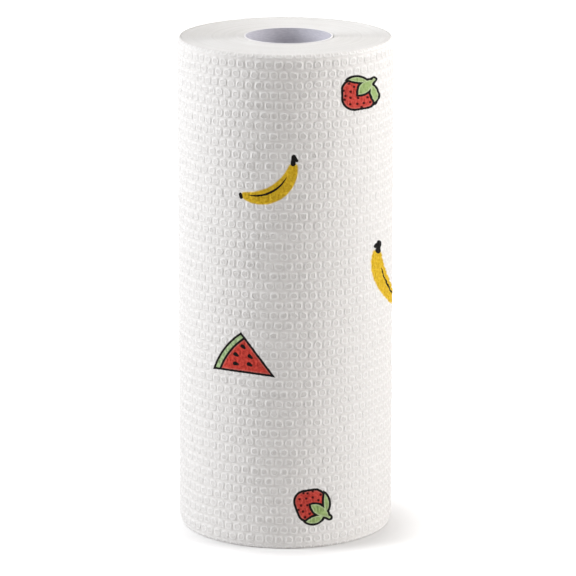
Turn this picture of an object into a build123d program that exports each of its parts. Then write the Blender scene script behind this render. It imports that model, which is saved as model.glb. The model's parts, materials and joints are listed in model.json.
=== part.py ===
"""Cleaning cloth roll: embossed cloth wound on a cardboard tube, standing on its end.

Millimetres, +Z up. The origin is the middle of the roll's base, and the roll's front faces -Y.
"""

import os

from build123d import *

# Roll
roll_height = 240.0
roll_radius = 52.0
cloth_thickness = 0.6
# The loose end of the cloth lies here, in degrees counted from +X
tail_angle = 115.0
# The rims where the saw has softened the cloth's edges
rim_height = 2.0
rim_width = 1.2

# Cardboard tube
bore_radius = 20.5
tube_wall = 0.8
# The tube sits this far to the right of the roll's middle
tube_offset = 1.6
# Between the tube and the first turn
winding_gap = 0.1

# Turns on the ends: one spiral groove, with crests between its turns
turns_shown = 14
turn_depth = 0.7
# The crests lie this far under the flat lands that the roll stands on
crest_drop = 0.15
inner_land = 0.8
outer_land = 0.8

# How far a cut reaches past the solid
cut_overrun = 1.0

tube_radius = bore_radius + tube_wall
winding_radius = tube_radius + winding_gap
rim_radius = roll_radius - rim_width
spiral_inside = winding_radius + inner_land
spiral_outside = rim_radius - outer_land - tube_offset
turn_pitch = (spiral_outside - spiral_inside) / (turns_shown + 1)


def half_section(outline, shift):
    """A half turn of an outline of (radius, height) points, its radii made smaller by shift."""
    points = [(radius - shift, height) for radius, height in outline]
    face = Plane.XZ * make_face(Polyline(*points, close=True))
    return revolve(face, Axis.Z, 180)


def wound(outline, step):
    """Two half turns about two centres, which together grow by one step in a full turn."""
    first = Pos(step / 2, 0, 0) * Rot(0, 0, 180) * half_section(outline, step / 2)
    second = half_section(outline, 0)
    turn = Rot(0, 0, tail_angle - 180)
    return [turn * first, turn * second]


def roll_outline():
    """Half section of the roll, with a soft rim at both ends."""
    inside = winding_radius / 2
    base = [(inside, 0), (rim_radius, 0), (roll_radius, rim_height)]
    top = [(radius, roll_height - height) for radius, height in reversed(base)]
    return base + top


def turns_outline():
    """Half section of the spiral cut in the top end: a valley for each turn, with crests between."""
    half_pitch = turn_pitch / 2
    first_valley = spiral_inside + turn_pitch + half_pitch
    valleys = [first_valley + turn * turn_pitch for turn in range(turns_shown)]
    valley_height = roll_height - turn_depth
    crest_height = roll_height - crest_drop
    cut_top = roll_height + cut_overrun
    # The outermost flanks run on in a straight line to the top of the cut
    flank_reach = half_pitch * (cut_top - valley_height) / (crest_height - valley_height)
    outline = [(valleys[0] - flank_reach, cut_top), (valleys[0], valley_height)]
    for valley in valleys[1:]:
        outline.append((valley - half_pitch, crest_height))
        outline.append((valley, valley_height))
    outline.append((valleys[-1] + flank_reach, cut_top))
    return outline


def make_core_tube():
    """The cardboard tube, cut flush with the cloth."""
    section = Circle(tube_radius) - Circle(bore_radius)
    return Pos(tube_offset, 0, 0) * extrude(section, roll_height)


def make_cloth_roll():
    """All turns of the cloth as one solid, with the loose end as a step at the back."""
    first, second = wound(roll_outline(), cloth_thickness)
    well_height = roll_height + 2 * cut_overrun
    well = Pos(tube_offset, 0, -cut_overrun) * extrude(Circle(winding_radius), well_height)
    top_turns = [Pos(tube_offset, 0, 0) * half for half in wound(turns_outline(), turn_pitch)]
    middle = Plane.XY.offset(roll_height / 2)
    bottom_turns = [mirror(half, about=middle) for half in top_turns]
    return (first + second) - [well, *top_turns, *bottom_turns]


os.makedirs("parts", exist_ok=True)
export_step(make_core_tube(), "parts/core_tube.step")
export_step(make_cloth_roll(), "parts/cloth_roll.step")
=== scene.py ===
"""Cleaning cloth roll: white embossed cloth with printed fruit, wound on a cardboard tube.

Metres, +Z up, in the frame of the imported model. The roll stands on the floor and its front faces -Y.
"""

import functools
import json
import math

import bpy
import numpy as np
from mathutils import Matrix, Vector


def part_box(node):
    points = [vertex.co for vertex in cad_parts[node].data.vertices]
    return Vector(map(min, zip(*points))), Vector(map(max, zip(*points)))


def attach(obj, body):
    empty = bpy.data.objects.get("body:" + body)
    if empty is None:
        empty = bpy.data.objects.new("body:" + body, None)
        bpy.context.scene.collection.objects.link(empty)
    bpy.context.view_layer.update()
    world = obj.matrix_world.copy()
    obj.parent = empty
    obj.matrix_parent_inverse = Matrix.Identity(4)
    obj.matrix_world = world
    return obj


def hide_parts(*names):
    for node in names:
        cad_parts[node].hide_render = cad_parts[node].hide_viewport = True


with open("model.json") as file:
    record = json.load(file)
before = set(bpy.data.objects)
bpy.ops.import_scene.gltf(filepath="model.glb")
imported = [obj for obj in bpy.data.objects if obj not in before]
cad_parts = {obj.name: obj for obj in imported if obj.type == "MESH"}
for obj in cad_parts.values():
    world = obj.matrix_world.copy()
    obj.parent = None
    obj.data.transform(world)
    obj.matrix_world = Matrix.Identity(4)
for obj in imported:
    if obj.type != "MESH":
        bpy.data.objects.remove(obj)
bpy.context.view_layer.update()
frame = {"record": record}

MM = 0.001
FULL_TURN = 2 * math.pi

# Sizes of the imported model
roll_low, roll_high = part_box("cloth_roll")
tube_low, tube_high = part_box("core_tube")
mounts = {mount["name"]: mount for mount in frame["record"]["mounts"]}
roll_height = roll_high.z - roll_low.z
roll_radius = roll_high.x
tube_radius = (tube_high.x - tube_low.x) / 2
tube_offset = (tube_high.x + tube_low.x) / 2
bore_radius = mounts["core_bore"]["dims"]["r_mm"] * MM

# The cloth and its loose end, which lies at the back
cloth_thickness = 0.6 * MM
tail_angle = math.radians(115)
winding_gap = 0.1 * MM
rim_height = 2.4 * MM
rim_width = 1.8 * MM
# The cells' crests stand this far out of the smooth solid
cloth_proud = 0.25 * MM

# Embossed cells: rings round a dimple, in staggered rows
cells_round = 70
row_pitch = 4.8 * MM
row_count = 49
emboss_depth = 0.58 * MM
wall_start = (roll_height - row_count * row_pitch) / 2
cell_pitch = FULL_TURN * roll_radius / cells_round
first_angle = tail_angle - FULL_TURN
# Feet, ring and dimple as shares of a cell's pitch and of a row's
column_shares = (0.04, 0.2, 0.5, 0.8, 0.96)
row_shares = (0.07, 0.22, 0.5, 0.78, 0.93)
# What lies at these places: 0 for a foot, 1 for the ring and 2 for the dimple
place_kinds = (0, 1, 2, 1, 0)
# How far the dimple goes back down, as a share of the emboss
dimple_share = 1.0
# Height left between neighbours in a row, and between the rows, as shares of the emboss
column_foot_share = 0.2
row_foot_share = 0.0
# How far a ring's corners are drawn in, as a share of the pitch
corner_share = 0.05
# Fine form of the rings
emboss_flank = 0.6 * MM
ring_width = 0.62 * MM
cell_corner = 1.35 * MM
cell_half_width = (0.5 - column_shares[0]) * cell_pitch - cell_corner
cell_half_height = (0.5 - row_shares[0]) * row_pitch - cell_corner
# How much the cells differ from each other
cell_drift = 0.25 * MM
drift_length = 19 * MM
cell_jitter = 0.13 * MM
jitter_limit = 2
foot_jitter_share = 0.5
depth_jitter_share = 0.5
wall_unevenness = 0.08 * MM
unevenness_length = 34 * MM
crushed_share = 0.5
# Every other row is moved on by this part of a cell, except near the ends of the cloth
stagger_cells = 0.5
stagger_fade_cells = 3
# The unevenness fades out over a row, from this many rows above the rim
rim_fade_rows = 0.3
# Points round each rim
lip_points = 7

# Turns on the ends
turn_columns = 256
turn_shares = (0.7, 0.3, 0.0)
turn_depth_shares = (0.0, 0.0, 1.0)
turn_depth = 0.22 * MM
turn_drop = 0.15 * MM
turn_unevenness = 0.1 * MM
turn_wander_share = 0.5
turn_wander_length = 30 * MM
spare_turns = 3

# Cardboard tube: one strip of board wound in a helix
tube_columns = 96
tube_rows = 48
helix_turns = 1.6
seam_depth = 0.12 * MM
seam_shares = (-0.006, -0.003, 0.003, 0.006)
seam_depth_shares = (0.0, 1.0, 1.0, 0.0)

# Camera, found from the photograph's outlines
camera_elevation = math.radians(13.88)
camera_distance = 1.9
camera_lens_mm = 245.4
aim_right = 1.39 * MM
aim_down = 3.9 * MM

# Edges that bend more than this stay sharp
sharp_angle = math.radians(80)

# Uneven fields: the number of waves in them, and how much those differ in length
ripple_waves = 9
ripple_shares = (0.6, 1.6)
random = np.random.default_rng(52)


def smooth_step(share):
    """A soft rise from 0 to 1."""
    held = np.clip(share, 0, 1)
    return held * held * (3 - 2 * held)


def ripple(across, up, length):
    """A soft uneven field of about -1 to 1, made of plane waves of about this length."""
    total = np.zeros(np.broadcast(across, up).shape)
    for _ in range(ripple_waves):
        heading = random.uniform(0, math.pi)
        phase = random.uniform(0, FULL_TURN)
        pitch = length * random.uniform(*ripple_shares)
        run = across * math.cos(heading) + up * math.sin(heading)
        total += np.sin(FULL_TURN * run / pitch + phase)
    return total / math.sqrt(2 * ripple_waves)


def loft(name, columns, maps, material, joined=False):
    """A closed solid from columns, each a closed loop of points: neighbours are joined, and open ends capped.

    Each map holds one more entry along the loop than there are points, and one more column where joined.
    """
    count, points = columns.shape[:2]
    spans = count if joined else count - 1
    column = np.arange(spans)[:, None]
    point = np.arange(points)[None, :]
    corners = [(column, point), (column + 1, point), (column + 1, point + 1), (column, point + 1)]
    quads = np.stack([(c % count) * points + p % points for c, p in corners], -1).reshape(-1, 4)
    faces = quads.tolist()
    loop = np.arange(points)
    caps = [] if joined else [loop[::-1], (count - 1) * points + loop]
    faces += [cap.tolist() for cap in caps]
    mesh = bpy.data.meshes.new(name)
    mesh.from_pydata(columns.reshape(-1, 3).tolist(), [], faces)
    for map_name, values in maps.items():
        parts = [np.stack([values[c, p] for c, p in corners], 2).reshape(-1, 2)]
        if caps:
            parts += [values[0, loop[::-1]], values[count - 1, loop]]
        layer = mesh.uv_layers.new(name=map_name)
        layer.data.foreach_set("uv", np.concatenate(parts).astype(np.float32).ravel())
    mesh.shade_smooth()
    mesh.set_sharp_from_angle(angle=sharp_angle)
    mesh.materials.append(material)
    piece = bpy.data.objects.new(name, mesh)
    bpy.context.scene.collection.objects.link(piece)
    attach(piece, "root")
    return piece


def polar(radius, angle, height, centre=0.0):
    """Points at radii and angles about an upright axis, which may lie to the right of the middle."""
    radius, angle, height, centre = np.broadcast_arrays(radius, angle, height, centre)
    return np.stack([centre + radius * np.cos(angle), radius * np.sin(angle), height], -1)


# Shader nodes


class Field:
    """A number that varies over a surface, worked out by maths nodes."""

    def __init__(self, tree, socket):
        self.tree = tree
        self.socket = socket

    def op(self, operation, *others, clamp=False):
        node = self.tree.nodes.new("ShaderNodeMath")
        node.operation = operation
        node.use_clamp = clamp
        for slot, value in zip(node.inputs, (self, *others)):
            if isinstance(value, Field):
                self.tree.links.new(value.socket, slot)
            else:
                slot.default_value = value
        return Field(self.tree, node.outputs[0])

    def __add__(self, other):
        return self.op("ADD", other)

    def __sub__(self, other):
        return self.op("SUBTRACT", other)

    def __mul__(self, other):
        return self.op("MULTIPLY", other)

    def root(self):
        return self.op("SQRT")

    def size(self):
        return self.op("ABSOLUTE")

    def least(self, other):
        return self.op("MINIMUM", other)

    def most(self, other):
        return self.op("MAXIMUM", other)

    def round_off(self, other, reach):
        """The greater of two distances, with a soft corner between them."""
        return self.op("SMOOTH_MAX", other, reach)

    def held(self):
        """Kept between 0 and 1."""
        return self.op("ADD", 0.0, clamp=True)

    def inside(self, edge):
        """1 where a signed distance is below zero and 0 where it is above, with an edge this wide."""
        return self.op("MULTIPLY_ADD", -1 / edge, 0.5, clamp=True)

    def ramp(self, low, high):
        """0 at low and 1 at high, held beyond them."""
        return self.op("MULTIPLY_ADD", 1 / (high - low), -low / (high - low), clamp=True)


class Paint:
    """The node tree of one material, with calls for the few nodes that the materials share."""

    def __init__(self, name):
        self.material = bpy.data.materials.new(name)
        self.material.use_nodes = True
        self.tree = self.material.node_tree
        self.shader = self.tree.nodes["Principled BSDF"]

    def node(self, kind, **settings):
        node = self.tree.nodes.new(kind)
        for key, value in settings.items():
            setattr(node, key, value)
        return node

    def link(self, start, end):
        self.tree.links.new(start, end)

    def place(self, map_name):
        """The two coordinates of a map, as fields."""
        source = self.node("ShaderNodeUVMap", uv_map=map_name)
        split = self.node("ShaderNodeSeparateXYZ")
        self.link(source.outputs["UV"], split.inputs[0])
        return [Field(self.tree, split.outputs[axis]) for axis in ("X", "Y")]

    def noise(self, along, up, lengths, turn=0.0, detail=2.0, roughness=0.5):
        """Noise with blotches of these lengths along a turned pair of directions."""
        cosine = math.cos(turn)
        sine = math.sin(turn)
        join = self.node("ShaderNodeCombineXYZ")
        first = (along * cosine + up * sine) * (1 / lengths[0])
        second = (up * cosine - along * sine) * (1 / lengths[1])
        self.link(first.socket, join.inputs["X"])
        self.link(second.socket, join.inputs["Y"])
        texture = self.node("ShaderNodeTexNoise", noise_dimensions="2D")
        texture.inputs["Scale"].default_value = 1.0
        texture.inputs["Detail"].default_value = detail
        texture.inputs["Roughness"].default_value = roughness
        self.link(join.outputs[0], texture.inputs["Vector"])
        return Field(self.tree, texture.outputs["Fac"])

    def mix(self, share, first, second):
        """One colour laid over another: colours are sockets or sRGB values."""
        node = self.node("ShaderNodeMix", data_type="RGBA")
        self.link(share.socket, node.inputs["Factor"])
        for slot, colour in zip((node.inputs[6], node.inputs[7]), (first, second)):
            if isinstance(colour, bpy.types.NodeSocket):
                self.link(colour, slot)
            else:
                slot.default_value = linear(colour)
        return node.outputs[2]

    def bump(self, height, distance, below=None):
        """The normal of a surface that is raised by a height times a distance, over another normal."""
        node = self.node("ShaderNodeBump")
        node.inputs["Strength"].default_value = 1.0
        node.inputs["Distance"].default_value = distance
        self.link(height.socket, node.inputs["Height"])
        if below is not None:
            self.link(below, node.inputs["Normal"])
        return node.outputs["Normal"]


def linear(colour):
    """Linear colour for sRGB values of 0 to 255."""
    shares = [value / 255 for value in colour]
    low = [share / 12.92 if share <= 0.04045 else ((share + 0.055) / 1.055) ** 2.4 for share in shares]
    return (*low, 1.0)


# Printed fruit: plain shapes as signed distances, in metres, on each print's own axes

ink_black = (8, 5, 4)
ink_edge = 0.18 * MM
soft_ink_edge = 2 * ink_edge
faint_ink_edge = 3 * ink_edge
line_width = 1.05 * MM


def disc(x, y, centre, radius):
    """A round spot."""
    across = x - centre[0]
    up = y - centre[1]
    return (across * across + up * up).root() - radius


def limb(x, y, start, end, start_radius, end_radius):
    """A stroke between two points, whose width changes from one end to the other."""
    run = (end[0] - start[0], end[1] - start[1])
    length_squared = run[0] ** 2 + run[1] ** 2
    across = x - start[0]
    up = y - start[1]
    share = (across * (run[0] / length_squared) + up * (run[1] / length_squared)).held()
    side = across - share * run[0]
    rise = up - share * run[1]
    return (side * side + rise * rise).root() - share * (end_radius - start_radius) - start_radius


def leaf(x, y, start, end, bulges):
    """Two arcs between two points, which bulge to the left and to the right of the way between them."""
    run = (end[0] - start[0], end[1] - start[1])
    length = math.hypot(*run)
    sides = []
    for side, bulge in zip((1, -1), bulges):
        radius = (length**2 / 4 + bulge**2) / (2 * bulge)
        back = side * (bulge - radius) / length
        centre = ((start[0] + end[0]) / 2 - run[1] * back, (start[1] + end[1]) / 2 + run[0] * back)
        sides.append(disc(x, y, centre, radius))
    return sides[0].most(sides[1])


def nearest(distances):
    """The distance to whichever shape lies nearest."""
    return functools.reduce(Field.least, distances)


def outline(distance):
    """A line along a shape's edge."""
    return distance.size() - line_width / 2


def rim(distance, shares):
    """How much of the rim's colour shows: none at the first place and all at the second, in line widths."""
    return distance.ramp(shares[0] * line_width, shares[1] * line_width)


# Strawberry: a tip and two shoulders, with three leaves and a stem on top
berry_reds = ((176, 54, 46), (212, 82, 72))
berry_rim_red = (200, 108, 98)
berry_rim_shares = (-1.1, -0.4)
berry_seed_red = (64, 8, 6)
leaf_greens = ((138, 162, 98), (164, 188, 126))
leaf_rim_green = (188, 204, 160)
leaf_rim_shares = (-1.2, -0.5)
berry_tip = (0.25 * MM, -2.5 * MM)
berry_shoulders = ((-2.75 * MM, 0.9 * MM), (3.3 * MM, 0.9 * MM))
berry_radii = (4.9 * MM, 4.7 * MM)
# Places of the seeds in millimetres
berry_seeds = (
    (-6.0, 2.0), (-3.3, 2.3), (4.0, 2.1), (6.4, 1.1), (-3.1, -0.5), (1.2, -0.8), (4.6, -1.1),
    (-1.3, -2.8), (-5.6, -2.0), (2.7, -3.2), (5.0, -3.2), (-3.5, -3.5), (-2.7, -5.1), (0.5, -5.3),
)
berry_seed_radius = 0.56 * MM
# Each leaf's start and tip, and how far its two sides bulge
berry_leaves = (
    ((0.9 * MM, 8.3 * MM), (-7.8 * MM, 2.65 * MM), (0.7 * MM, 2.5 * MM)),
    ((0.6 * MM, 10.6 * MM), (0.3 * MM, -0.1 * MM), (2.65 * MM, 2.65 * MM)),
    ((0.9 * MM, 8.3 * MM), (8.3 * MM, 1.9 * MM), (2.75 * MM, 1.2 * MM)),
)
berry_stem = ((0.95 * MM, 8.8 * MM), (0.95 * MM, 10.8 * MM))
berry_stem_radii = (1.2 * MM, 0.95 * MM)


def strawberry(paint, x, y, grain, base):
    """The colour of a strawberry over a base colour."""
    body = limb(x, y, *berry_shoulders, berry_radii[1], berry_radii[1])
    for shoulder in berry_shoulders:
        body = body.least(limb(x, y, berry_tip, shoulder, *berry_radii))
    seeds = nearest([disc(x, y, (across * MM, up * MM), berry_seed_radius) for across, up in berry_seeds])
    greens = nearest([leaf(x, y, *sides) for sides in berry_leaves])
    greens = greens.least(limb(x, y, *berry_stem, *berry_stem_radii))
    flesh = paint.mix(grain, *berry_reds)
    flesh = paint.mix(rim(body, berry_rim_shares), flesh, berry_rim_red)
    colour = paint.mix(body.inside(ink_edge), base, flesh)
    colour = paint.mix(seeds.inside(soft_ink_edge), colour, berry_seed_red)
    colour = paint.mix(outline(body).inside(ink_edge), colour, ink_black)
    leaf_green = paint.mix(grain, *leaf_greens)
    leaf_green = paint.mix(rim(greens, leaf_rim_shares), leaf_green, leaf_rim_green)
    colour = paint.mix(greens.inside(ink_edge), colour, leaf_green)
    return paint.mix(outline(greens).inside(ink_edge), colour, ink_black)


# Banana: between two arcs, with a cap at the left end and a hooked stem at the upper right one
banana_yellows = ((196, 154, 18), (232, 196, 52))
banana_rim_yellow = (232, 212, 150)
banana_rim_shares = (-0.5, 0.3)
banana_belly = ((-6.3 * MM, 11.71 * MM), 17.68 * MM)
banana_hollow = ((-13.23 * MM, 22.06 * MM), 21.72 * MM)
banana_ends = (-16.6 * MM, 14.4 * MM)
banana_end_reach = 2.5 * MM
banana_line_centre = (-9.43 * MM, 15.57 * MM)
banana_line_bend = 17.1 * MM
banana_line_half_width = 0.55 * MM
banana_line_ends = (math.radians(-102.3), math.radians(-27.7))
banana_cap = ((-17.1 * MM, -0.8 * MM), (-16.6 * MM, -2.4 * MM))
banana_cap_radius = 0.8 * MM
banana_stem = ((8.85 * MM, 14.3 * MM), (9.1 * MM, 17.6 * MM), (10.7 * MM, 15.7 * MM))
banana_stem_radii = (1.3 * MM, 1.1 * MM, 0.75 * MM)


def banana(paint, x, y, grain, base):
    """The colour of a banana over a base colour."""
    body = disc(x, y, *banana_belly).most(disc(x, y, *banana_hollow) * -1)
    beyond = (x * -1 + banana_ends[0]).most(y - banana_ends[1])
    body = body.round_off(beyond, banana_end_reach)
    line_x = x - banana_line_centre[0]
    line_y = y - banana_line_centre[1]
    line_middle = sum(banana_line_ends) / 2
    line_half = (banana_line_ends[1] - banana_line_ends[0]) / 2
    share = (line_y.op("ARCTAN2", line_x) - line_middle) * (1 / line_half)
    width = (share * share * -1 + 1).most(0.0).root() * banana_line_half_width
    line = disc(x, y, banana_line_centre, banana_line_bend).size() - width
    line = line.most((share.size() - 1) * (line_half * banana_line_bend))
    cap = limb(x, y, *banana_cap, banana_cap_radius, banana_cap_radius)
    black = nearest([line, cap])
    for part in range(len(banana_stem) - 1):
        both = slice(part, part + 2)
        black = black.least(limb(x, y, *banana_stem[both], *banana_stem_radii[both]))
    skin = paint.mix(grain, *banana_yellows)
    skin = paint.mix(rim(body, banana_rim_shares), skin, banana_rim_yellow)
    colour = paint.mix(body.inside(faint_ink_edge), base, skin)
    return paint.mix(black.inside(ink_edge), colour, ink_black)


# Melon wedge: +x points from the tip, through the middle, to the rind
melon_reds = ((176, 46, 38), (216, 78, 66))
melon_rim_red = (206, 108, 98)
melon_rim_shares = (-1.2, -0.4)
rind_greens = ((132, 164, 112), (188, 208, 160))
melon_tip = -14.3 * MM
melon_half_angle = math.radians(22.8)
melon_rind = 2.8 * MM
# The rind bends round a point behind the tip
melon_bend = 31.6 * MM
melon_bend_middle = (-5.0 * MM, 4.5 * MM)
# Places of the seeds in millimetres, from the tip
melon_seeds = ((18.2, -4.6), (19.3, 0.1), (12.9, -2.3), (17.2, 3.7), (11.4, 0.8))
melon_seed_length = 1.4 * MM
melon_seed_radii = (0.6 * MM, 0.95 * MM)


def melon(paint, x, y, grain, base):
    """The colour of a melon wedge over a base colour."""
    x = x - melon_tip
    skin = disc(x, y, melon_bend_middle, melon_bend)
    side = y.size() * math.cos(melon_half_angle) - x * math.sin(melon_half_angle)
    wedge = skin.most(side)
    rind = (skin + melon_rind) * -1
    seeds = []
    for along, across in melon_seeds:
        start = (along * MM, across * MM)
        end = (start[0] + melon_seed_length, start[1] + melon_seed_length * across / along)
        seeds.append(limb(x, y, start, end, *melon_seed_radii))
    flesh = paint.mix(grain, *melon_reds)
    edge = rim(wedge, melon_rim_shares).most(rim(rind * -1, melon_rim_shares))
    flesh = paint.mix(edge, flesh, melon_rim_red)
    rind_green = paint.mix(grain, *rind_greens)
    colour = paint.mix(rind.inside(ink_edge), flesh, rind_green)
    colour = paint.mix(wedge.inside(ink_edge), base, colour)
    lines = outline(wedge).least(outline(rind).most(wedge))
    return paint.mix(nearest([lines, *seeds]).inside(ink_edge), colour, ink_black)


# Where the prints lie: angle from the front, height, turn, size, and width, below zero where mirrored
prints = (
    (
        strawberry,
        (
            (40.5, 218.8 * MM, -37.5, 0.975, 1.15),
            (13.3, 22.2 * MM, -120.5, 1.06, 1),
            (-135.0, 218.8 * MM, -37.5, 0.975, 1.15),
            (186.0, 22.2 * MM, -120.5, 1.06, 1),
        ),
    ),
    (
        banana,
        (
            (-5.3, 174.7 * MM, -0.6, 0.95, 1),
            (71.4, 120.2 * MM, 11.8, 1.12, -1),
            (174.7, 174.7 * MM, -0.6, 0.95, 1),
            (-118.0, 120.2 * MM, 11.8, 0.88, -1),
        ),
    ),
    (
        melon,
        (
            (-20.5, 92.5 * MM, 149.8, 1.0, 1),
            (159.5, 92.5 * MM, 149.8, 1.0, 1),
        ),
    ),
)
# Prints look flat from the front or the back, so at the sides they are drawn wider, up to this many times
widest_print = 1.75
widest_facing = math.acos(1 / widest_print)
# Over the cells they lean along the cloth by this share of the depth, so that their edges look smooth
print_lean_share = 0.5


def print_axes(along, up, angle, height, turn, size, width):
    """A print's own axes: turned, and made to lie flat when seen from the front or the back."""
    middle = math.remainder(math.radians(angle), math.pi)
    away = along * (1 / roll_radius) - math.radians(angle)
    facing = away + middle
    near = facing.least(widest_facing).most(-widest_facing)
    across = near.op("SINE") + (facing - near) * (1 / widest_print)
    held = max(min(middle, widest_facing), -widest_facing)
    across = (across - math.sin(held) - (middle - held) / widest_print) * (roll_radius / (size * width))
    tilt = roll_radius * math.sin(camera_elevation) / size
    rise = (up - height) * (math.cos(camera_elevation) / size)
    rise = rise - (facing.op("COSINE") - math.cos(middle)) * tilt
    cosine = math.cos(math.radians(turn))
    sine = math.sin(math.radians(turn))
    return across * cosine + rise * sine, rise * cosine - across * sine


def nearest_axes(along, up, places):
    """The axes of whichever print of a kind lies nearest."""
    x, y = print_axes(along, up, *places[0])
    for place in places[1:]:
        other_x, other_y = print_axes(along, up, *place)
        nearer = (other_x * other_x + other_y * other_y).op("LESS_THAN", x * x + y * y)
        x = x + (other_x - x) * nearer
        y = y + (other_y - y) * nearer
    return x, y


# Materials

cloth_white = (243, 242, 241)
cloth_shade = (236, 235, 234)
cloth_roughness = 0.95
cloth_sheen = 0.03
sheen_roughness = 0.5
specular_level = 0.2
fibre_length = 3.2 * MM
fibre_width = 0.16 * MM
fibre_turns = (0.35, -0.4, 1.25)
fibre_height = 0.05 * MM
fibre_contrast = (0.35, 0.75)
tuft_length = 0.7 * MM
tuft_height = 0.13 * MM
tuft_detail = 3.0
# Uneven edges of the embossed rings, their bump, and their colour: pressed cloth is a little darker, and this
# also paints shade into the feet and dimples
edge_wander = 0.7 * MM
wander_cells = (0.45, 0.35)
ring_bump = 0.23 * MM
bump_foot_share = 0.12
pressed_and_shaded_white = (225, 223, 221)
# Streaks along the turns on the ends
streak_length = 70 * MM
streak_width = 0.9 * MM
streak_white = (232, 231, 229)
streak_contrast = (0.35, 0.65)
# Blotches in the ink
blotch_length = 1.5 * MM
blotch_contrast = (0.3, 0.7)
blotch_detail = 4.0
blotch_roughness = 0.65
# Cardboard: its grain, flecks and pale cut ends, whose white also paints the highlight along the bore's rim
board_greys = ((198, 197, 207), (214, 213, 221))
board_cut_and_highlight_white = (238, 237, 238)
board_roughness = 0.85
board_sheen = 0.0
grain_lengths = (2.5 * MM, 0.5 * MM)
grain_height = 0.03 * MM
grain_contrast = (0.3, 0.7)
grain_detail = 4.0
grain_roughness = 0.6
fleck_grey = (172, 168, 176)
fleck_lengths = (0.6 * MM, 0.25 * MM)
fleck_contrast = (0.68, 0.78)
fleck_share = 0.5


def fibres(paint, along, up):
    """Crossing fibres of a non-woven cloth, as a height from 0 to 1."""
    layers = [paint.noise(along, up, (fibre_length, fibre_width), turn) for turn in fibre_turns]
    return functools.reduce(Field.most, layers)


def emboss(paint):
    """How far a place lies inside a cell's edge, in metres, with slightly uneven edges."""
    along, up = paint.place("cells")
    side = (along.op("FRACT") - 0.5).size() * cell_pitch
    rise = (up.op("FRACT") - 0.5).size() * row_pitch
    past_x = side - cell_half_width
    past_y = rise - cell_half_height
    out_x = past_x.most(0.0)
    out_y = past_y.most(0.0)
    distance = (out_x * out_x + out_y * out_y).root() + past_x.most(past_y).least(0.0) - cell_corner
    wander = paint.noise(along, up, wander_cells, detail=1.0)
    return (wander - 0.5) * edge_wander - distance


def soft_finish(paint, roughness, sheen):
    """A dull surface with hardly any gloss."""
    paint.shader.inputs["Roughness"].default_value = roughness
    paint.shader.inputs["Specular IOR Level"].default_value = specular_level
    paint.shader.inputs["Sheen Weight"].default_value = sheen
    paint.shader.inputs["Sheen Roughness"].default_value = sheen_roughness


def make_cloth(name, printed):
    """White non-woven cloth: embossed and printed, or with the streaks of its cut turns."""
    paint = Paint(name)
    along, up = paint.place("run")
    hair = fibres(paint, along, up)
    tufts = paint.noise(along, up, (tuft_length, tuft_length), detail=tuft_detail)
    colour = paint.mix(hair.ramp(*fibre_contrast), cloth_shade, cloth_white)
    normal = paint.bump(tufts, tuft_height)
    normal = paint.bump(hair, fibre_height, below=normal)
    if printed:
        depth = emboss(paint)
        lift = depth.ramp(0, emboss_flank)
        dimple = depth.ramp(ring_width, ring_width + emboss_flank) * dimple_share
        ring = lift * (1 - bump_foot_share) + bump_foot_share - dimple
        normal = paint.bump(ring, ring_bump, below=normal)
        # Pressed cloth is a little darker, and this also paints shade into the valleys and dimples
        colour = paint.mix(ring, pressed_and_shaded_white, colour)
        lengths = (blotch_length, blotch_length)
        blotches = paint.noise(along, up, lengths, detail=blotch_detail, roughness=blotch_roughness)
        grain = blotches.ramp(*blotch_contrast)
        for motif, places in prints:
            x, y = nearest_axes(along, up, places)
            colour = motif(paint, x, y, grain, colour)
    else:
        streaks = paint.noise(along, up, (streak_length, streak_width), detail=1.0)
        colour = paint.mix(streaks.ramp(*streak_contrast), streak_white, colour)
    paint.link(colour, paint.shader.inputs["Base Color"])
    paint.link(normal, paint.shader.inputs["Normal"])
    soft_finish(paint, cloth_roughness, cloth_sheen)
    return paint.material


def make_board(name):
    """Grey spiral-wound cardboard."""
    paint = Paint(name)
    along, up = paint.place("run")
    grain = paint.noise(along, up, grain_lengths, detail=grain_detail, roughness=grain_roughness)
    flecks = paint.noise(along, up, fleck_lengths)
    colour = paint.mix(grain.ramp(*grain_contrast), *board_greys)
    colour = paint.mix(flecks.ramp(*fleck_contrast) * fleck_share, colour, fleck_grey)
    # Pale cut ends of the board, a white that also paints the highlight along the bore's rim
    cut_edge_highlight = (up * (up * -1 + roll_height)).op("LESS_THAN", 0.0)
    colour = paint.mix(cut_edge_highlight, colour, board_cut_and_highlight_white)
    paint.link(colour, paint.shader.inputs["Base Color"])
    paint.link(paint.bump(grain, grain_height), paint.shader.inputs["Normal"])
    soft_finish(paint, board_roughness, board_sheen)
    return paint.material


# Pieces


def closed(values):
    """A map's values with the first place of each loop repeated at its end."""
    return np.concatenate([values, values[:, :1]], 1)


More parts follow.
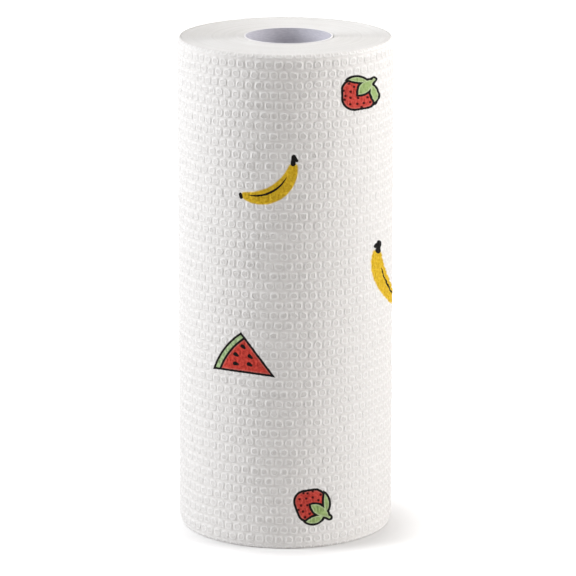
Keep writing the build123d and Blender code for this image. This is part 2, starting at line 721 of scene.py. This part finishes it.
def make_outer_turn(material):
    """The last turn of cloth with its embossed cells, soft rims and loose end."""
    cells = np.add.outer(np.arange(cells_round), column_shares).ravel()
    cells = np.concatenate([[0], cells, [cells_round]])
    rows = np.add.outer(np.arange(row_count), row_shares).ravel()
    cell = np.minimum(np.floor(cells), cells_round - 1).astype(int)
    row = np.floor(rows).astype(int)

    # Height of the wall as a share of the emboss: rings are high, feet and dimples low
    across = np.concatenate([[0], np.tile(place_kinds, cells_round), [0]])
    up = np.tile(place_kinds, row_count)
    foot = np.minimum.outer(across, up) == 0
    dimple = np.minimum.outer(across, up) == 2
    corner = (np.maximum.outer(across, up) == 1) & ~foot
    fullness = 1 - crushed_share * random.random((cells_round, row_count)) ** 2
    lift = np.where(dimple, 1 - dimple_share, 1.0)
    lift[across == 0] = column_foot_share
    lift[:, up == 0] = row_foot_share
    lift *= fullness[cell][:, row]
    cut_x = corner_share * cell_pitch * corner * np.sign(cell + 0.5 - cells)[:, None]
    cut_y = corner_share * row_pitch * corner * np.sign(row + 0.5 - rows)[None, :]
    loose = np.where(foot, foot_jitter_share, 1.0)
    draws = random.standard_normal((3, *lift.shape)).clip(-jitter_limit, jitter_limit)
    jitter = cell_jitter * loose * draws

    from_end = np.minimum(cells, cells_round - cells)
    stagger = stagger_cells * np.multiply.outer(smooth_step(from_end / stagger_fade_cells), row % 2)

    # The rims at both ends are rounded
    lip = np.linspace(0, math.pi / 2, lip_points)
    lip_heights = rim_height * (1 - np.cos(lip[:-1]))
    lip_insets = (rim_width - emboss_depth) * (1 - np.sin(lip[:-1]))
    heights = np.concatenate([lip_heights, wall_start + rows * row_pitch, roll_height - lip_heights[::-1]])
    insets = np.concatenate([lip_insets, np.zeros(len(rows)), lip_insets[::-1]])
    margin = ((0, 0), (len(lip_heights), len(lip_heights)))
    lift, cut_x, cut_y, jitter_x, jitter_y, jitter_out = (
        np.pad(values, margin) for values in (lift, cut_x, cut_y, *jitter)
    )
    stagger = np.pad(stagger, margin, mode="edge")

    angle = first_angle + FULL_TURN * (cells[:, None] + stagger) / cells_round
    run = roll_radius * (angle + math.pi / 2)
    edge_radius = roll_radius + cloth_proud - cloth_thickness * (1 - cells / cells_round)
    from_rim = np.minimum(heights, roll_height - heights) / row_pitch
    on_wall = smooth_step(from_rim - rim_fade_rows)[None, :]
    drift_run = cell_drift * ripple(run, heights[None, :], drift_length) * on_wall + cut_x + jitter_x
    drift_up = cell_drift * ripple(run, heights[None, :], drift_length) * on_wall + cut_y + jitter_y
    uneven = wall_unevenness * ripple(run, heights[None, :], unevenness_length) * on_wall
    uneven += depth_jitter_share * jitter_out
    drift_run[[0, -1]] = 0
    radius = edge_radius[:, None] - emboss_depth * (1 - lift) - insets[None, :] + uneven
    points = polar(radius, angle + drift_run / roll_radius, heights[None, :] + drift_up)

    # The maps: length along the cloth and height, the cells, and a square for baking
    map_heights = np.append(heights, roll_height + rim_height)
    print_heights = closed(heights[None, :] + drift_up)
    print_heights[:, -1] = roll_height + rim_height
    lean = print_lean_share * (radius - roll_radius) * np.sin(2 * (angle + math.pi / 2))
    run_map = np.stack([closed(run + drift_run + lean), print_heights], -1)
    row_places = (map_heights - wall_start) / row_pitch
    cell_map = np.stack(np.broadcast_arrays(cells[:, None], row_places[None, :]), -1)
    bake_up = np.linspace(0, 1, len(map_heights))
    bake_map = np.stack(np.broadcast_arrays(cells[:, None] / cells_round, bake_up[None, :]), -1)
    maps = {"run": run_map, "cells": cell_map, "OFBake": bake_map}
    return loft("outer_turn", points, maps, material)


def make_wound_turns(material):
    """All turns between the tube and the last one: a spiral on both ends."""
    inside = tube_radius + winding_gap
    outside = roll_radius + cloth_proud - cloth_thickness - rim_width
    turns = round((outside - inside) / cloth_thickness)
    pitch = (outside - inside) / turns
    share_round = np.linspace(0, 1, turn_columns + 1)
    angle = first_angle + FULL_TURN * share_round

    # Samples from the outer turn inwards, each a place along the spiral and a share of the depth
    starts = np.repeat(np.arange(turns)[::-1], len(turn_shares))
    places = np.concatenate([[turns], starts + np.tile(turn_shares, turns)])
    deep_shares = np.concatenate([[1.0], np.tile(turn_depth_shares, turns)])
    spiral = places[None, :] + share_round[:, None]
    radius = inside + pitch * spiral
    centre = tube_offset * (outside + pitch - radius) / (outside + pitch - inside)
    across = radius * np.cos(angle)[:, None]
    back = radius * np.sin(angle)[:, None]
    level_count = turns + spare_turns
    drops = []
    for _ in range(2):
        levels = turn_unevenness * random.uniform(-1, 1, level_count)
        level = np.interp(spiral, np.arange(level_count), levels)
        wander = turn_unevenness * turn_wander_share * ripple(across, back, turn_wander_length)
        drops.append(np.maximum(turn_drop + level + wander, 0) + turn_depth * deep_shares[None, :])
    top = polar(radius, angle[:, None], roll_height - drops[0], centre)
    base = polar(radius, angle[:, None], drops[1], centre)[:, ::-1]
    points = np.concatenate([top, base], 1)
    run = FULL_TURN * (spiral * inside + pitch * spiral * spiral / 2)
    flat_map = np.stack([run, radius], -1)
    run_map = np.concatenate([flat_map, flat_map[:, ::-1], flat_map[:, :1]], 1)
    return loft("wound_turns", points, {"run": run_map}, material)


def make_core(material):
    """The cardboard tube, with the helical seam of its strip inside."""
    shares = np.concatenate([seam_shares, np.linspace(0, 1, tube_columns, endpoint=False)[1:]])
    depths = np.concatenate([seam_depth_shares, np.zeros(tube_columns - 1)]) * seam_depth
    order = np.argsort(shares)
    shares = shares[order]
    depths = depths[order]
    heights = np.linspace(roll_height, 0, tube_rows + 1)
    twist = FULL_TURN * helix_turns * heights / roll_height
    angle = FULL_TURN * shares[:, None] + twist[None, :]
    inner = polar(bore_radius + depths[:, None], angle, heights[None, :], tube_offset)
    outer = polar(tube_radius, angle, heights[None, :], tube_offset)[:, ::-1]
    points = np.concatenate([outer, inner], 1)
    run = bore_radius * FULL_TURN * np.append(shares, shares[0] + 1)
    wall = tube_radius - bore_radius
    walls = np.concatenate([-wall - heights, heights[::-1], [roll_height + wall]])
    run_map = np.stack(np.broadcast_arrays(run[:, None], walls[None, :]), -1)
    return loft("core", points, {"run": run_map}, material, joined=True)


outer_turn = make_outer_turn(make_cloth("printed_cloth", True))
wound_turns = make_wound_turns(make_cloth("cut_cloth", False))
core = make_core(make_board("grey_board"))
for piece in (outer_turn, wound_turns):
    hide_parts("cloth_roll")
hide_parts("core_tube")

# Stage

floor_size = 8.0
floor_white = (239, 239, 239)
# The floor's own white grows from the roll outwards in two steps, so that the roll's shadow stays; held back
# round a middle set to the front and right of the roll, it also paints the floor darker near the roll
painted_shade_middle = (5 * MM, -12 * MM, 0.0)
plain_white = (255, 255, 255)
floor_glows = ((44 * MM, 68 * MM, 0.45), (68 * MM, 500 * MM, 0.55))
room_light = 0.340
room_tint = (255, 250, 246)
# Angle from the front and elevation in degrees, distance, width and height, power and colour
side_distance = 1.3
side_size = (0.5, 0.7)
top_distance = 0.34
top_size = (0.2, 0.2)
lamps = (
    ("left_softbox", -84, 27, side_distance, side_size, 13.5, (250, 252, 255)),
    ("right_softbox", 77, 12, side_distance, side_size, 11.0, (255, 253, 252)),
    ("top_softbox", 82, 70, top_distance, top_size, 0.31, (255, 255, 254)),
)


def white_rays(tree):
    """1 for rays that show the background: from the camera, and in gloss and glass."""
    path = tree.nodes.new("ShaderNodeLightPath")
    kinds = ("Is Camera Ray", "Is Glossy Ray", "Is Transmission Ray")
    return functools.reduce(Field.most, [Field(tree, path.outputs[kind]) for kind in kinds])


def make_floor():
    """A plain pale floor that keeps the roll's shadow, is painted darker near the roll, and turns white away
    from it.
    """
    half = floor_size / 2
    corners = [(-half, -half, 0), (half, -half, 0), (half, half, 0), (-half, half, 0)]
    mesh = bpy.data.meshes.new("floor")
    mesh.from_pydata(corners, [], [(0, 1, 2, 3)])
    paint = Paint("floor_white")
    paint.shader.inputs["Base Color"].default_value = linear(floor_white)
    paint.shader.inputs["Roughness"].default_value = 1.0
    paint.shader.inputs["Specular IOR Level"].default_value = 0.0
    paint.shader.inputs["Emission Color"].default_value = linear(plain_white)
    spot = paint.node("ShaderNodeTexCoord").outputs["Object"]
    reach = paint.node("ShaderNodeVectorMath", operation="DISTANCE")
    reach.inputs[1].default_value = painted_shade_middle
    paint.link(spot, reach.inputs[0])
    outwards = Field(paint.tree, reach.outputs["Value"])
    # Less white near the roll paints the floor darker there, on top of the lamps' shadow
    first, second = (outwards.ramp(start, end) * share for start, end, share in floor_glows)
    glow = (first + second) * white_rays(paint.tree)
    paint.link(glow.socket, paint.shader.inputs["Emission Strength"])
    mesh.materials.append(paint.material)
    floor = bpy.data.objects.new("floor", mesh)
    bpy.context.scene.collection.objects.link(floor)


def make_world():
    """Even light from all round, with a white background."""
    world = bpy.data.worlds.new("room")
    world.use_nodes = True
    tree = world.node_tree
    room = tree.nodes["Background"]
    room.inputs["Color"].default_value = linear(room_tint)
    room.inputs["Strength"].default_value = room_light
    backdrop = tree.nodes.new("ShaderNodeBackground")
    backdrop.inputs["Color"].default_value = linear(plain_white)
    backdrop.inputs["Strength"].default_value = 1.0
    mixer = tree.nodes.new("ShaderNodeMixShader")
    tree.links.new(white_rays(tree).socket, mixer.inputs["Fac"])
    tree.links.new(room.outputs[0], mixer.inputs[1])
    tree.links.new(backdrop.outputs[0], mixer.inputs[2])
    tree.links.new(mixer.outputs[0], tree.nodes["World Output"].inputs["Surface"])
    bpy.context.scene.world = world


roll_middle = Vector((0, 0, roll_height / 2))


def from_middle(facing, elevation, distance):
    """A place seen from the roll's middle, its angle counted from the front to the right."""
    level = distance * math.cos(elevation)
    away = (level * math.sin(facing), -level * math.cos(facing), distance * math.sin(elevation))
    return roll_middle + Vector(away)


def look(obj, target):
    """Turn a lamp or the camera towards a place."""
    obj.rotation_euler = (target - obj.location).to_track_quat("-Z", "Y").to_euler()


def make_lamp(name, facing, elevation, distance, size, power, colour):
    """A softbox that looks at the roll's middle."""
    data = bpy.data.lights.new(name, "AREA")
    data.shape = "RECTANGLE"
    data.size, data.size_y = size
    data.energy = power
    data.color = linear(colour)[:3]
    lamp = bpy.data.objects.new(name, data)
    lamp.location = from_middle(math.radians(facing), math.radians(elevation), distance)
    look(lamp, roll_middle)
    bpy.context.scene.collection.objects.link(lamp)


def make_camera():
    """The camera at the photograph's angle."""
    data = bpy.data.cameras.new("camera")
    data.lens = camera_lens_mm
    camera = bpy.data.objects.new("camera", data)
    camera.location = from_middle(0, camera_elevation, camera_distance)
    camera_up = Vector((0, math.sin(camera_elevation), math.cos(camera_elevation)))
    look(camera, roll_middle + Vector((aim_right, 0, 0)) - camera_up * aim_down)
    bpy.context.scene.collection.objects.link(camera)
    bpy.context.scene.camera = camera


make_floor()
make_world()
for lamp in lamps:
    make_lamp(*lamp)
make_camera()
bpy.context.scene.view_settings.view_transform = "Standard"
